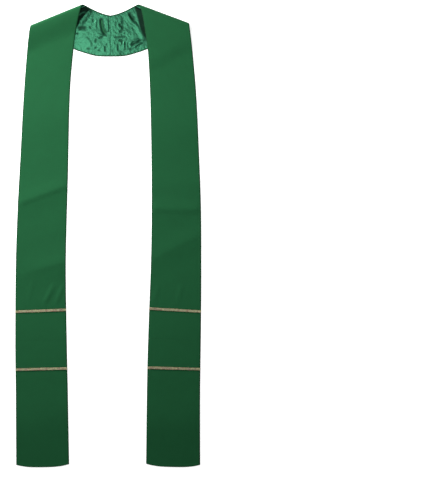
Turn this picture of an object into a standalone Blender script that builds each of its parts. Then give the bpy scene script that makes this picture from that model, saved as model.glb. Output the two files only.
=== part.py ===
"""A clerical stole laid flat, face up, with the back of its neck folded under the two fronts.

Each half is one long strip of face cloth over one of lining. It starts at the centre-back seam as half of the
yoke, lies face down there, rolls over at the shoulder and runs down to the hem as a front, face up. Gold braid
crosses each front twice, and a braid cross is sewn on the outside of the yoke, which is its underside here.

Lengths are millimetres until they reach Blender. +X is to the right of someone who looks down on the fronts,
+Y points at the neck, and Z = 0 is the surface that the stole lies on. In plan, a point of a half is given by
its distance out from the centre-back seam and its drop below the two neck points.
"""

import math
from bisect import bisect_right
from collections import namedtuple
from functools import partial

import bmesh
import bpy
from mathutils import Matrix, Vector

MM = 0.001

# Cloth walls
FACE_WALL = 1.2
LINING_WALL = 1.0
SEAM_GAP = 0.3
EDGE_ROUND = 1.6
LINING_DEPTH = SEAM_GAP + LINING_WALL
CLOTH_THICK = FACE_WALL + LINING_DEPTH

# Braid
BRAID_WIDE = 7.0
BRAID_THICK = 1.2
BRAID_CROWN = 0.35
BRAID_END_INSET = 0.6
# Rows of a braid across a front, as shares of its width from its middle
BRAID_ROWS = [-0.5, -0.3, 0.0, 0.3, 0.5]

# Outline of the fronts, each edge from its shoulder end to its hem corner
EdgeRow = namedtuple("EdgeRow", "drop out")
LEFT_INNER = [
    EdgeRow(0.0, 75.3),
    EdgeRow(20.0, 81.5),
    EdgeRow(69.0, 92.6),
    EdgeRow(123.0, 99.9),
    EdgeRow(236.0, 109.2),
    EdgeRow(463.0, 114.8),
    EdgeRow(690.0, 120.4),
    EdgeRow(841.0, 119.1),
    EdgeRow(1068.0, 114.6),
    EdgeRow(1241.0, 111.6),
]
LEFT_OUTER = [
    EdgeRow(56.7, 214.9),
    EdgeRow(69.0, 217.8),
    EdgeRow(123.0, 224.8),
    EdgeRow(236.0, 233.6),
    EdgeRow(387.0, 241.9),
    EdgeRow(539.0, 250.0),
    EdgeRow(690.0, 255.4),
    EdgeRow(917.0, 257.0),
    EdgeRow(1068.0, 255.4),
    EdgeRow(1243.0, 254.6),
]
RIGHT_INNER = [
    EdgeRow(0.0, 76.0),
    EdgeRow(20.0, 84.5),
    EdgeRow(69.0, 93.2),
    EdgeRow(123.0, 100.7),
    EdgeRow(236.0, 106.7),
    EdgeRow(387.0, 110.2),
    EdgeRow(539.0, 111.3),
    EdgeRow(690.0, 109.4),
    EdgeRow(841.0, 103.7),
    EdgeRow(992.0, 99.2),
    EdgeRow(1240.0, 96.0),
]
RIGHT_OUTER = [
    EdgeRow(50.8, 212.0),
    EdgeRow(69.0, 214.9),
    EdgeRow(123.0, 221.1),
    EdgeRow(236.0, 231.1),
    EdgeRow(387.0, 238.4),
    EdgeRow(539.0, 244.1),
    EdgeRow(690.0, 245.2),
    EdgeRow(841.0, 244.6),
    EdgeRow(1068.0, 241.9),
    EdgeRow(1243.0, 242.2),
]

# Outline of half the yoke, from the centre-back seam; each side adds its own neck or shoulder point
YokeRow = namedtuple("YokeRow", "out drop")
NECK_EDGE = [YokeRow(0.0, 30.2), YokeRow(18.4, 25.7), YokeRow(45.0, 14.9), YokeRow(64.5, 4.6)]
YOKE_EDGE = [
    YokeRow(0.0, 141.0),
    YokeRow(37.0, 139.5),
    YokeRow(69.0, 131.5),
    YokeRow(100.0, 120.5),
    YokeRow(125.0, 108.0),
    YokeRow(152.0, 92.0),
    YokeRow(179.0, 75.0),
]

# How far a hem bows below the line between its corners, over the last stretch of the front
HEM_BOW = 7.5
HEM_REACH = 90.0

# The two halves: the roll is the radius of the seam surface at the shoulder, and the tail is the way over
# which the front sinks from the roll to the layer below
Half = namedtuple("Half", "name sign inner outer roll tail")
LEFT = Half("left", -1, LEFT_INNER, LEFT_OUTER, 6.0, 64.0)
RIGHT = Half("right", 1, RIGHT_INNER, RIGHT_OUTER, 7.0, 96.0)

# Where a front lies on the yoke, and where it comes down past the yoke's edge
OVER_YOKE = CLOTH_THICK + SEAM_GAP
COVER_CLEAR = 26.0
COVER_FALL = 40.0

# Low waves that a front keeps from being folded: the drop of the crest at mid-width, its slant, the reach to
# each side, the height, how crisp the crest is (0 to 1), and how far it leans to the inner (-1) or outer (+1) edge
Wave = namedtuple("Wave", "half drop slant reach height crisp lean")
WAVES = [
    Wave("left", 306.0, 0.10, 95.0, 1.8, 0.0, 0),
    Wave("left", 512.0, 0.38, 70.0, 2.8, 0.8, 0),
    Wave("left", 712.0, 0.27, 62.0, 2.0, 0.5, -1),
    Wave("left", 1118.0, 0.15, 90.0, 1.6, 0.0, 0),
    Wave("right", 330.0, -0.15, 95.0, 1.8, 0.0, 0),
    Wave("right", 487.0, 0.0, 45.0, 1.0, 0.0, 0),
    Wave("right", 551.0, 0.02, 62.0, 2.4, 0.8, 0),
    Wave("right", 655.0, -0.50, 60.0, 1.8, 0.4, 0),
    Wave("right", 1122.0, -0.12, 90.0, 1.8, 0.0, 0),
]

# Braid across the fronts: the drop of its middle at the inner and outer edge
Band = namedtuple("Band", "name half inner_drop outer_drop")
BANDS = [
    Band("upper_braid_left", LEFT, 824.5, 829.5),
    Band("lower_braid_left", LEFT, 982.5, 986.0),
    Band("upper_braid_right", RIGHT, 821.0, 829.0),
    Band("lower_braid_right", RIGHT, 980.5, 984.5),
]

# The braid cross on the yoke. The cloth rides over it, so the yoke is raised round it.
CROSS_TOP_DROP = 47.5
CROSS_FOOT_DROP = 134.0
CROSS_ARM_DROP = 96.0
CROSS_ARM_REACH = 47.0
CROSS_RAISE = BRAID_THICK + SEAM_GAP
RAISE_FLAT = 18.0
RAISE_FALL = 22.0

# Mesh rows and columns
FAN_ROWS = 10
ROLL_ROWS = 8
NEAR_ROWS = [8.0, 18.0, 30.0]
TURN_END_DROP = 340.0
TURN_ROWS = 11
PLAIN_ROWS = 27
INNER_COLUMNS = [0.2, 0.4, 0.6, 0.8]

# Points of the yoke's edge that a distance is measured to, halvings in the search for a crossing, and the
# distance to each side over which a slope is measured
YOKE_STEPS = 60
MEET_STEPS = 48
SLOPE_STEP = 0.5
# A row that slants to its edge more than this sine of the angle between them is taken as slanting this much
LEAST_SINE = 0.5

# The origin is the middle of the outline
CENTRE_SEAM_X = (max(r.out for r in LEFT_OUTER) - max(r.out for r in RIGHT_OUTER)) / 2
NECK_POINT_Y = (1242.0 + HEM_BOW) / 2


def ease(x):
    """0 to 1 as x goes from 0 to 1, with level ends."""
    x = min(max(x, 0.0), 1.0)
    return x * x * (3 - 2 * x)


def on_curve(rows, x):
    """The rows' second column where the first is x, on a smooth curve through the rows."""
    xs, ys = zip(*rows)
    last = len(xs) - 1
    i = min(max(bisect_right(xs, x) - 1, 0), last - 1)

    def slope(k):
        a, b = max(k - 1, 0), min(k + 1, last)
        return (ys[b] - ys[a]) / (xs[b] - xs[a])

    span = xs[i + 1] - xs[i]
    u = (x - xs[i]) / span
    return (
        ys[i] * (2 * u**3 - 3 * u**2 + 1)
        + ys[i + 1] * (3 * u**2 - 2 * u**3)
        + span * slope(i) * (u**3 - 2 * u**2 + u)
        + span * slope(i + 1) * (u**3 - u**2)
    )


def neck_point(half):
    return Vector((half.inner[0].out, half.inner[0].drop))


def shoulder_point(half):
    return Vector((half.outer[0].out, half.outer[0].drop))


def fold_axes(half):
    """The fold line's direction in plan, from neck to shoulder, and the direction square to it into the cloth."""
    along = (shoulder_point(half) - neck_point(half)).normalized()
    return along, Vector((-along.y, along.x))


def depth_in(half, point):
    """How far a plan point lies in from the folded edge."""
    return (point - neck_point(half)).dot(fold_axes(half)[1])


def neck_edge(half):
    return NECK_EDGE + [YokeRow(*neck_point(half))]


def yoke_edge(half):
    return YOKE_EDGE + [YokeRow(*shoulder_point(half))]


def edge_at(rows, x):
    """Plan point of an edge, x along the first column of its rows."""
    y = on_curve(rows, x)
    return Vector((x, y)) if rows[0]._fields[0] == "out" else Vector((y, x))


def meet(rows, start, along):
    """Where an edge crosses the line through start."""
    low, high = rows[0][0], rows[-1][0]

    def side(x):
        away = edge_at(rows, x) - start
        return along.x * away.y - along.y * away.x

    rising = side(high) > side(low)
    for _ in range(MEET_STEPS):
        middle = (low + high) / 2
        if (side(middle) > 0) == rising:
            high = middle
        else:
            low = middle
    return edge_at(rows, (low + high) / 2)


def fold_line(half, depth):
    """A line of the plan at this depth in from the folded edge."""
    along, inward = fold_axes(half)
    return neck_point(half) + inward * depth, along


def raise_over_cross(point):
    """How far the yoke is held up by the cross under it."""
    x, y = abs(point.x), point.y
    to_upright = math.hypot(x, max(CROSS_TOP_DROP - y, 0, y - CROSS_FOOT_DROP))
    to_arm = math.hypot(max(x - CROSS_ARM_REACH, 0), y - CROSS_ARM_DROP)
    away = min(to_upright, to_arm) - RAISE_FLAT
    return CROSS_RAISE * (1 - ease(away / RAISE_FALL))


def past_yoke(half, point):
    """How far a plan point lies outside the yoke's lower edge; negative on the yoke."""
    rows = yoke_edge(half)
    end = rows[-1].out
    nearest = min((edge_at(rows, end * k / YOKE_STEPS) - point).length for k in range(YOKE_STEPS + 1))
    inside = point.x <= end and point.y < on_curve(rows, max(point.x, 0.0))
    return -nearest if inside else nearest


def wave_height(half, point):
    total = 0.0
    for wave in WAVES:
        if wave.half != half.name:
            continue
        inner, outer = on_curve(half.inner, point.y), on_curve(half.outer, point.y)
        across = (point.x - inner) / (outer - inner) - 0.5
        away = min(abs(point.y - wave.drop - wave.slant * across * (outer - inner)) / wave.reach, 1.0)
        crest = (1 - wave.crisp) * (1 - ease(away)) + wave.crisp * (1 - away) ** 2
        total += wave.height * crest * (1 + wave.lean * across)
    return total


def front_height(half, point):
    """Height of the seam surface of a front above the floor."""
    rest = LINING_DEPTH + OVER_YOKE * (1 - ease((past_yoke(half, point) - COVER_CLEAR) / COVER_FALL))
    roll_top = FACE_WALL + 2 * half.roll
    sunk = ease((depth_in(half, point) - half.roll - FACE_WALL) / half.tail)
    return rest + (roll_top - rest) * (1 - sunk) + wave_height(half, point)


def yoke_height(point):
    """Height of the seam surface of the yoke above the floor."""
    return FACE_WALL + raise_over_cross(point)


def plan_to_frame(half, point, height):
    return Vector((CENTRE_SEAM_X + half.sign * point.x, NECK_POINT_Y - point.y, height))


def height_normal(half, height, point, up):
    """Unit normal of a height field over the plan, in the frame, facing up (+1) or down (-1)."""
    aside, below = Vector((SLOPE_STEP, 0)), Vector((0, SLOPE_STEP))
    dx = (height(point + aside) - height(point - aside)) / (2 * SLOPE_STEP)
    dy = (height(point + below) - height(point - below)) / (2 * SLOPE_STEP)
    return Vector((-half.sign * dx, dy, 1.0)).normalized() * up


def yoke_row(half, turn):
    """Row of the yoke at a share of the way from the centre-back seam to the roll."""
    foot, along = fold_line(half, half.roll + FACE_WALL)
    pivot = Vector((SEAM_GAP / 2, foot.y + (SEAM_GAP / 2 - foot.x) * along.y / along.x))
    angle = turn * math.atan2(along.x, along.y)
    ray = Vector((math.sin(angle), math.cos(angle)))
    ends = [meet(edge, pivot, ray) for edge in (neck_edge(half), yoke_edge(half))]

    def point(t):
        plan = ends[0].lerp(ends[1], t)
        return plan_to_frame(half, plan, yoke_height(plan)), height_normal(half, yoke_height, plan, -1)

    return point


def roll_row(half, turn):
    """Row of the shoulder roll at a share of its half turn, from the yoke's side to the front's."""
    angle = (turn - 0.5) * math.pi
    start, along = fold_line(half, half.roll + FACE_WALL)
    inward = fold_axes(half)[1]
    edges = ((neck_edge(half), half.inner), (yoke_edge(half), half.outer))
    ends = [meet(below, start, along).lerp(meet(above, start, along), turn) for below, above in edges]
    ends = [end - inward * half.roll * math.cos(angle) for end in ends]
    height = FACE_WALL + half.roll * (1 + math.sin(angle))
    level = math.cos(angle)
    normal = Vector((-half.sign * inward.x * level, inward.y * level, math.sin(angle)))

    def point(t):
        return plan_to_frame(half, ends[0].lerp(ends[1], t), height), normal

    return point


def front_row(half, inner_drop, outer_drop):
    """Row of a front between two points of its edges."""
    ends = [edge_at(half.inner, inner_drop), edge_at(half.outer, outer_drop)]
    height = partial(front_height, half)
    hem = (half.inner[-1].drop + half.outer[-1].drop) / 2

    def point(t):
        plan = ends[0].lerp(ends[1], t)
        bow = HEM_BOW * (1 - abs(2 * t - 1) ** 3)
        plan.y += bow * ease(1 - (hem - plan.y) / HEM_REACH)
        return plan_to_frame(half, plan, height(plan)), height_normal(half, height, plan, 1)

    return point


def strip_rows(half):
    """Every row of a half, from the centre-back seam to the hem."""
    rows = [yoke_row(half, k / FAN_ROWS) for k in range(FAN_ROWS)]
    rows += [roll_row(half, k / ROLL_ROWS) for k in range(ROLL_ROWS + 1)]
    for step in NEAR_ROWS:
        start, along = fold_line(half, half.roll + FACE_WALL + step)
        ends = [meet(edge, start, along).y for edge in (half.inner, half.outer)]
        rows.append(front_row(half, *ends))
    inner_start, slant = ends[0], ends[1] - ends[0]
    for k in range(1, TURN_ROWS + 1):
        share = k / TURN_ROWS
        drop = inner_start + (TURN_END_DROP - inner_start) * share
        rows.append(front_row(half, drop, drop + slant * (1 - ease(share))))
    for k in range(1, PLAIN_ROWS + 1):
        share = k / PLAIN_ROWS
        ends = [TURN_END_DROP + (edge[-1].drop - TURN_END_DROP) * share for edge in (half.inner, half.outer)]
        rows.append(front_row(half, *ends))
    return rows


def edge_stretch(rows, k, t):
    """How much longer a step along row k is than the same step square to the strip's edge."""
    here, other = rows[k](t)[0], rows[k](1 - t)[0]
    before, after = rows[max(k - 1, 0)](t)[0], rows[min(k + 1, len(rows) - 1)](t)[0]
    edge, across = (after - before).normalized(), (other - here).normalized()
    return 1 / max(edge.cross(across).length, LEAST_SINE)


def place_rows(rows, columns):
    """Points of a cloth surface. A column is (from the edge in mm, height over the seam surface), with the
    edge inner or outer, or a share of the width in place of the edge distance."""
    points = []
    for k, row in enumerate(rows):
        wide = (row(1)[0] - row(0)[0]).length
        stretch = {"inner": edge_stretch(rows, k, 0), "outer": edge_stretch(rows, k, 1)}
        for edge, step, lift in columns:
            if edge == "share":
                t = step
            elif edge == "inner":
                t = step * stretch[edge] / wide
            else:
                t = 1 - step * stretch[edge] / wide
            place, normal = row(t)
            points.append(place + normal * lift)
    return points


def face_columns():
    corner = EDGE_ROUND * math.sqrt(0.5)
    turned = [
        (0.0, -LINING_DEPTH),
        (0.0, FACE_WALL - EDGE_ROUND),
        (EDGE_ROUND - corner, FACE_WALL - EDGE_ROUND + corner),
        (EDGE_ROUND, FACE_WALL),
    ]
    middle = [("share", t, FACE_WALL) for t in INNER_COLUMNS]
    return [("inner", *c) for c in turned] + middle + [("outer", *c) for c in reversed(turned)]


def lining_columns():
    inset = FACE_WALL + SEAM_GAP
    middle = [("share", t, -LINING_DEPTH) for t in INNER_COLUMNS]
    return [("inner", inset, -LINING_DEPTH)] + middle + [("outer", inset, -LINING_DEPTH)]


def material(name, colour, roughness, metallic):
    made = bpy.data.materials.new(name)
    made.use_nodes = True
    shader = made.node_tree.nodes["Principled BSDF"]
    shader.inputs["Base Color"].default_value = (*colour, 1)
    shader.inputs["Roughness"].default_value = roughness
    shader.inputs["Metallic"].default_value = metallic
    return made


def sheet_object(name, points, across, facing_up, wall, finish, collection):
    """A grid of points, thickened to one side into a cloth wall. facing_up says which way the points' side looks."""
    grid = bmesh.new()
    bmesh.ops.create_grid(grid, x_segments=across - 1, y_segments=len(points) // across - 1, size=1)
    for vertex, place in zip(grid.verts, points):
        vertex.co = place * MM
    # One diagonal for every sheet, so that the face and the lining twist alike and keep their gap
    bmesh.ops.triangulate(grid, faces=grid.faces, quad_method="FIXED")
    if not facing_up:
        bmesh.ops.reverse_faces(grid, faces=grid.faces)
    mesh = bpy.data.meshes.new(name)
    grid.to_mesh(mesh)
    grid.free()
    mesh.shade_smooth()
    made = bpy.data.objects.new(name, mesh)
    made.data.materials.append(finish)
    thick = made.modifiers.new("wall", "SOLIDIFY")
    thick.thickness = wall * MM
    thick.offset = -1
    thick.use_even_offset = True
    collection.objects.link(made)
    return made


def braid_band(band, finish, collection):
    """A braid across a front, on points of the face cloth moved out by the seam gap."""
    half = band.half
    wall = BRAID_THICK - BRAID_CROWN
    rows = []
    for share in BRAID_ROWS:
        step = share * BRAID_WIDE
        rows.append((front_row(half, band.inner_drop + step, band.outer_drop + step), share))
    points = []
    for row, share in rows:
        wide = (row(1)[0] - row(0)[0]).length
        crown = BRAID_CROWN * (1 - (2 * share) ** 2)
        end_sink = EDGE_ROUND - math.sqrt(EDGE_ROUND**2 - (EDGE_ROUND - BRAID_END_INSET) ** 2)
        ends = [(BRAID_END_INSET / wide, end_sink), (EDGE_ROUND / wide, 0.0)]
        columns = ends + [(t, 0.0) for t in INNER_COLUMNS] + [(1 - t, sink) for t, sink in reversed(ends)]
        for t, sink in columns:
            place, normal = row(t)
            points.append(place + normal * (FACE_WALL + SEAM_GAP + wall + crown - sink))
    return sheet_object(band.name, points, len(columns), half.sign < 0, wall, finish, collection)


def cross_bar(name, out_low, out_high, drop_low, drop_high, finish, collection):
    """One braid of the cross, a flat bar that lies on the floor under the yoke."""
    bpy.ops.mesh.primitive_cube_add(size=1)
    bar = bpy.context.object
    bar.name = name
    bar.data.name = name
    size = Vector((out_high - out_low, drop_high - drop_low, BRAID_THICK)) * MM
    bar.data.transform(Matrix.Diagonal((*size, 1)))
    middle = Vector(((out_low + out_high) / 2, (drop_low + drop_high) / 2))
    bar.location = Vector((CENTRE_SEAM_X + middle.x, NECK_POINT_Y - middle.y, BRAID_THICK / 2)) * MM
    bar.data.materials.append(finish)
    rounding = bar.modifiers.new("soft edges", "BEVEL")
    rounding.width = BRAID_CROWN * MM
    rounding.segments = 2
    for owner in list(bar.users_collection):
        owner.objects.unlink(bar)
    collection.objects.link(bar)
    return bar


def build():
    for old in list(bpy.data.objects):
        bpy.data.objects.remove(old)
    stole = bpy.data.collections.new("clerical_stole")
    bpy.context.scene.collection.children.link(stole)

    face = material("green_face_cloth", (0.018, 0.117, 0.042), 0.8, 0.0)
    lining = material("green_satin_lining", (0.036, 0.20, 0.105), 0.4, 0.0)
    gold = material("gold_braid", (0.50, 0.42, 0.24), 0.45, 0.6)

    for half in (LEFT, RIGHT):
        rows = strip_rows(half)
        columns = face_columns()
        sheet_object(f"face_{half.name}", place_rows(rows, columns), len(columns), half.sign < 0, FACE_WALL, face, stole)
        columns = lining_columns()
        sheet_object(
            f"lining_{half.name}", place_rows(rows, columns), len(columns), half.sign > 0, LINING_WALL, lining, stole
        )
    for band in BANDS:
        braid_band(band, gold, stole)

    beside = BRAID_WIDE / 2 + SEAM_GAP
    cross_bar("cross_upright", -BRAID_WIDE / 2, BRAID_WIDE / 2, CROSS_TOP_DROP, CROSS_FOOT_DROP, gold, stole)
    arm = (CROSS_ARM_DROP - BRAID_WIDE / 2, CROSS_ARM_DROP + BRAID_WIDE / 2)
    cross_bar("cross_arm_left", -CROSS_ARM_REACH, -beside, *arm, gold, stole)
    cross_bar("cross_arm_right", beside, CROSS_ARM_REACH, *arm, gold, stole)


build()
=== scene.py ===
"""Looks of a clerical stole that lies flat, face up, with the back of its neck folded under its two fronts.

Each half is one strip of face cloth over one of satin lining. It starts at the centre-back seam as half
of the yoke, lies face down there, rolls over at the shoulder and runs down to the hem as a front, face
up. Plaited gold braid crosses each front twice, and a braid cross is sewn on the outside of the yoke,
which is its underside here.

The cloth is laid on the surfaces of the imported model. Lengths are millimetres until they reach Blender.
In plan, a point of a half is given by its distance out from the centre-back seam and its drop below the
neck points.
"""

import math
from collections import namedtuple

import bpy
import numpy as np
from bpy.props import FloatProperty, FloatVectorProperty, IntProperty, PointerProperty
from bpy.types import Operator, Panel, PropertyGroup
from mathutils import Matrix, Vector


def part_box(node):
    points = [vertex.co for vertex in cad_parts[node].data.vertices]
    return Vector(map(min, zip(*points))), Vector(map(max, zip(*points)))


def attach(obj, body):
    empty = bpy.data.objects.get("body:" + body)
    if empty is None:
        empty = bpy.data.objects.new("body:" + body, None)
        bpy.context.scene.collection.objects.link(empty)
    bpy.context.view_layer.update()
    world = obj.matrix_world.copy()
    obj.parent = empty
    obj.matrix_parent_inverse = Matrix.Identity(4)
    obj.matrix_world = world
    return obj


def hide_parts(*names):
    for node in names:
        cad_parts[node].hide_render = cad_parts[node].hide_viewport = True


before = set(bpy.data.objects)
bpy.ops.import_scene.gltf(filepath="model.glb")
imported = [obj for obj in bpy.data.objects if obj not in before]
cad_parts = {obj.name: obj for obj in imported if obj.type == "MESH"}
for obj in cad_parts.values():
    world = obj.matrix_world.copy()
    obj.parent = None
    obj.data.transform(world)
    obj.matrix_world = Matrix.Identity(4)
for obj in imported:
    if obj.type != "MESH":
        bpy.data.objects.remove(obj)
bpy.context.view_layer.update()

bl_info = {
    "name": "Clerical Stole",
    "version": (1, 0, 0),
    "blender": (4, 5, 0),
    "location": "3D View > Sidebar > Stole",
    "description": "Cloth, lining, braid and stitches of a clerical stole laid flat",
    "category": "Add Mesh",
}

BRAID_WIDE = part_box("cross_upright")[1][0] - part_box("cross_upright")[0][0]
MM = 0.001
TURN = 2 * math.pi

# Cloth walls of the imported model
FACE_WALL = 1.2
LINING_WALL = 1.0
SEAM_GAP = 0.3
EDGE_ROUND = 1.6
LINING_DEPTH = SEAM_GAP + LINING_WALL
CLOTH_THICK = FACE_WALL + LINING_DEPTH

# The outline of the fronts, each edge from its shoulder end to its hem corner, as (drop, out)
LEFT_INNER = [
    (0.0, 75.3), (20.0, 81.5), (69.0, 92.6), (123.0, 99.9), (236.0, 109.2),
    (463.0, 114.8), (690.0, 120.4), (841.0, 119.1), (1068.0, 114.6), (1241.0, 111.6),
]
LEFT_OUTER = [
    (56.7, 214.9), (69.0, 217.8), (123.0, 224.8), (236.0, 233.6), (387.0, 241.9),
    (539.0, 250.0), (690.0, 255.4), (917.0, 257.0), (1068.0, 255.4), (1243.0, 254.6),
]
RIGHT_INNER = [
    (0.0, 76.0), (20.0, 84.5), (69.0, 93.2), (123.0, 100.7), (236.0, 106.7), (387.0, 110.2),
    (539.0, 111.3), (690.0, 109.4), (841.0, 103.7), (992.0, 99.2), (1240.0, 96.0),
]
RIGHT_OUTER = [
    (50.8, 212.0), (69.0, 214.9), (123.0, 221.1), (236.0, 231.1), (387.0, 238.4),
    (539.0, 244.1), (690.0, 245.2), (841.0, 244.6), (1068.0, 241.9), (1243.0, 242.2),
]

# The outline of half the yoke from the centre-back seam, as (out, drop); each side adds its neck or
# shoulder point
NECK_EDGE = [(0.0, 30.2), (18.4, 25.7), (45.0, 14.9), (64.5, 4.6)]
YOKE_EDGE = [
    (0.0, 141.0), (37.0, 139.5), (69.0, 131.5), (100.0, 120.5), (125.0, 108.0), (152.0, 92.0), (179.0, 75.0),
]

# How far a hem bows below the line between its corners, over the last stretch of the front
HEM_BOW = 7.5
HEM_REACH = 90.0

# A half of the stole. The roll is the radius of the seam surface at the shoulder, and over the tail the
# front sinks to the layer below. The folded edge starts at the neck point and runs along to the shoulder;
# inward is square to it.
Half = namedtuple("Half", "name sign inner outer roll tail neck_edge yoke_edge neck along inward")


def make_half(name, sign, inner, outer, roll, tail):
    neck, shoulder = (np.array(rows[0][::-1]) for rows in (inner, outer))
    along = (shoulder - neck) / np.linalg.norm(shoulder - neck)
    edges = NECK_EDGE + [tuple(neck)], YOKE_EDGE + [tuple(shoulder)]
    inward = np.array([-along[1], along[0]])
    return Half(name, sign, inner, outer, roll, tail, *edges, neck, along, inward)


LEFT = make_half("left", -1, LEFT_INNER, LEFT_OUTER, 6.0, 64.0)
RIGHT = make_half("right", 1, RIGHT_INNER, RIGHT_OUTER, 7.0, 96.0)
HALVES = (LEFT, RIGHT)

# Where a front lies on the yoke, and where it comes down past the yoke's edge
OVER_YOKE = CLOTH_THICK + SEAM_GAP
COVER_CLEAR = 26.0
COVER_FALL = 40.0

# Low waves of the fronts: the drop of the crest at mid-width, its slant, the reach to each side, the
# height, how crisp the crest is (0 to 1), and how far it leans to the inner (-1) or outer (+1) edge
Wave = namedtuple("Wave", "half drop slant reach height crisp lean")
WAVES = [
    Wave("left", 306.0, 0.10, 95.0, 1.8, 0.0, 0),
    Wave("left", 512.0, 0.38, 70.0, 2.8, 0.8, 0),
    Wave("left", 712.0, 0.27, 62.0, 2.0, 0.5, -1),
    Wave("left", 1118.0, 0.15, 90.0, 1.6, 0.0, 0),
    Wave("right", 330.0, -0.15, 95.0, 1.8, 0.0, 0),
    Wave("right", 487.0, 0.0, 45.0, 1.0, 0.0, 0),
    Wave("right", 551.0, 0.02, 62.0, 2.4, 0.8, 0),
    Wave("right", 655.0, -0.50, 60.0, 1.8, 0.4, 0),
    Wave("right", 1122.0, -0.12, 90.0, 1.8, 0.0, 0),
]

# Braid across the fronts: the drop of its middle at the inner and outer edge
Band = namedtuple("Band", "name node half inner_drop outer_drop")
BANDS = [
    Band("front_braid_upper_left", "upper_braid_left", LEFT, 824.5, 829.5),
    Band("front_braid_lower_left", "lower_braid_left", LEFT, 982.5, 986.0),
    Band("front_braid_upper_right", "upper_braid_right", RIGHT, 821.0, 829.0),
    Band("front_braid_lower_right", "lower_braid_right", RIGHT, 980.5, 984.5),
]

# The braid cross on the yoke. The cloth rides over it, so the yoke is raised round it.
CROSS_TOP_DROP = 47.5
CROSS_FOOT_DROP = 134.0
CROSS_ARM_DROP = 96.0
CROSS_ARM_REACH = 47.0
CROSS_RAISE = 1.5
RAISE_FLAT = 18.0
RAISE_FALL = 22.0

# The origin is the middle of the outline
CENTRE_SEAM_X = (LEFT_OUTER[7][1] - RIGHT_OUTER[6][1]) / 2
NECK_POINT_Y = (1242.0 + HEM_BOW) / 2

# Rows of the cloth grids, from the centre-back seam to the hem
SEAM_TURNS = [0.0, 0.0015, 0.003, 0.006]
FAN_ROWS = 120
ROLL_ROWS = 16
NEAR_STEP = 3.0
NEAR_END = 30.0
TURN_END_DROP = 340.0
TURN_ROWS = 56
PLAIN_STEP = 4.0

# A hollow or fold of a cloth: its path, how far it stands out (or in, below zero), how far it
# reaches to the left and right of its path, and the length over which each end fades out
Crease = namedtuple("Crease", "path height left right fade")

# Folds of the satin on the yoke, as (out, drop). Above zero they rise towards someone who looks down on the
# fronts.
YOKE_CREASES = {
    "left": [
        Crease([(51, 15), (62, 25), (72, 37), (85, 53)], 1.7, 5, 12, 9),
        Crease([(85, 31), (78, 25), (71, 22), (64, 21)], 1.5, 4, 4, 5),
        Crease([(90, 66), (80, 63), (72, 63), (61, 68)], -1.0, 8, 8, 9),
        Crease([(57, 57), (50, 65)], -0.7, 4, 4, 5),
        Crease([(25, 34), (23, 53), (19, 70), (10, 85)], -1.6, 9, 9, 10),
        Crease([(36, 37), (40, 53), (40, 68)], 0.8, 5, 6, 9),
        Crease([(12, 36), (8, 53), (8, 77)], 0.7, 4, 4.5, 9),
        Crease([(46, 36), (47, 50)], -0.6, 4, 4, 6),
        Crease([(34, 91), (18, 89)], -0.8, 3, 3, 4),
        Crease([(39, 80), (30, 82), (19, 86)], 0.8, 4, 4, 6),
        Crease([(15, 81), (7, 86)], -0.6, 3, 3, 4),
        Crease([(38, 90), (40, 106)], -0.8, 5, 5, 6),
        Crease([(14, 110), (13, 130)], -0.7, 3.5, 3.5, 7),
        Crease([(8, 102), (11, 113)], -0.5, 3, 3, 5),
        Crease([(35, 113), (42, 121)], -0.6, 4, 4, 5),
        Crease([(64, 117), (54, 124)], -0.6, 4, 4, 5),
        Crease([(35, 123), (25, 127)], -0.5, 3, 3, 4),
        Crease([(95, 77), (83, 79)], -0.7, 3, 3, 5),
        Crease([(88, 71.5), (76, 71)], 0.5, 3, 3, 5),
        Crease([(72, 88), (58, 100), (52, 112)], 0.6, 7, 7, 10),
        Crease([(25, 102), (27, 118)], 0.4, 5, 5, 6),
    ],
    "right": [
        Crease([(43, 24), (53, 42), (64, 52), (73, 62), (79, 74), (85, 86), (92, 101)], 1.5, 8, 11, 12),
        Crease([(50, 20), (57, 33), (68, 46)], -1.1, 7, 6, 8),
        Crease([(57, 14), (65, 27), (71, 39)], 0.8, 6, 5, 8),
        Crease([(24, 50), (28, 58), (35, 63), (31, 72), (22, 73)], -0.8, 5, 5, 6),
        Crease([(23, 45), (32, 52)], 0.6, 4, 4, 5),
        Crease([(8, 89), (26, 88), (43, 85)], -0.7, 2.5, 2.5, 4),
        Crease([(8, 77), (20, 81)], 0.6, 4, 4, 5),
        Crease([(8, 92.5), (36, 93)], 0.4, 2.5, 2.5, 5),
        Crease([(35, 79.5), (43, 77)], -0.6, 3, 3, 4),
        Crease([(21, 97), (32, 99), (31, 110)], -1.0, 4, 4, 5),
        Crease([(22, 104), (20, 115), (23, 128)], -0.8, 4, 4, 7),
        Crease([(12, 102), (15, 109)], -0.5, 3, 3, 4),
        Crease([(35, 99), (38, 125)], 0.8, 4, 4, 8),
        Crease([(46, 100), (43, 122)], 0.7, 4, 4, 8),
        Crease([(41, 99), (41, 122)], -0.6, 3, 3, 7),
        Crease([(48, 112), (59, 99), (71, 96), (83, 94)], 1.0, 4, 4, 8),
        Crease([(54, 113), (69, 105), (83, 100)], -1.0, 4, 4, 8),
        Crease([(62, 118), (74, 107), (90, 104)], 0.8, 4, 4, 8),
        Crease([(47, 120), (62, 124)], -0.6, 3, 3, 6),
        Crease([(12, 44), (11, 62)], 0.5, 5, 5, 7),
    ],
}

# Where the satin starts to rise towards the fold at each side of the neck, as (drop, out), and how much of
# the room under the front it takes up
NECK_RISE = {
    "left": [(0, 38), (14.5, 50), (25, 61), (37, 72), (53, 85), (66, 94), (80, 104)],
    "right": [(0, 57), (11, 62.5), (34, 70), (61, 77), (88, 86), (112, 96.5), (125, 104)],
}
NECK_RISE_SHARE = 0.97

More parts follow.
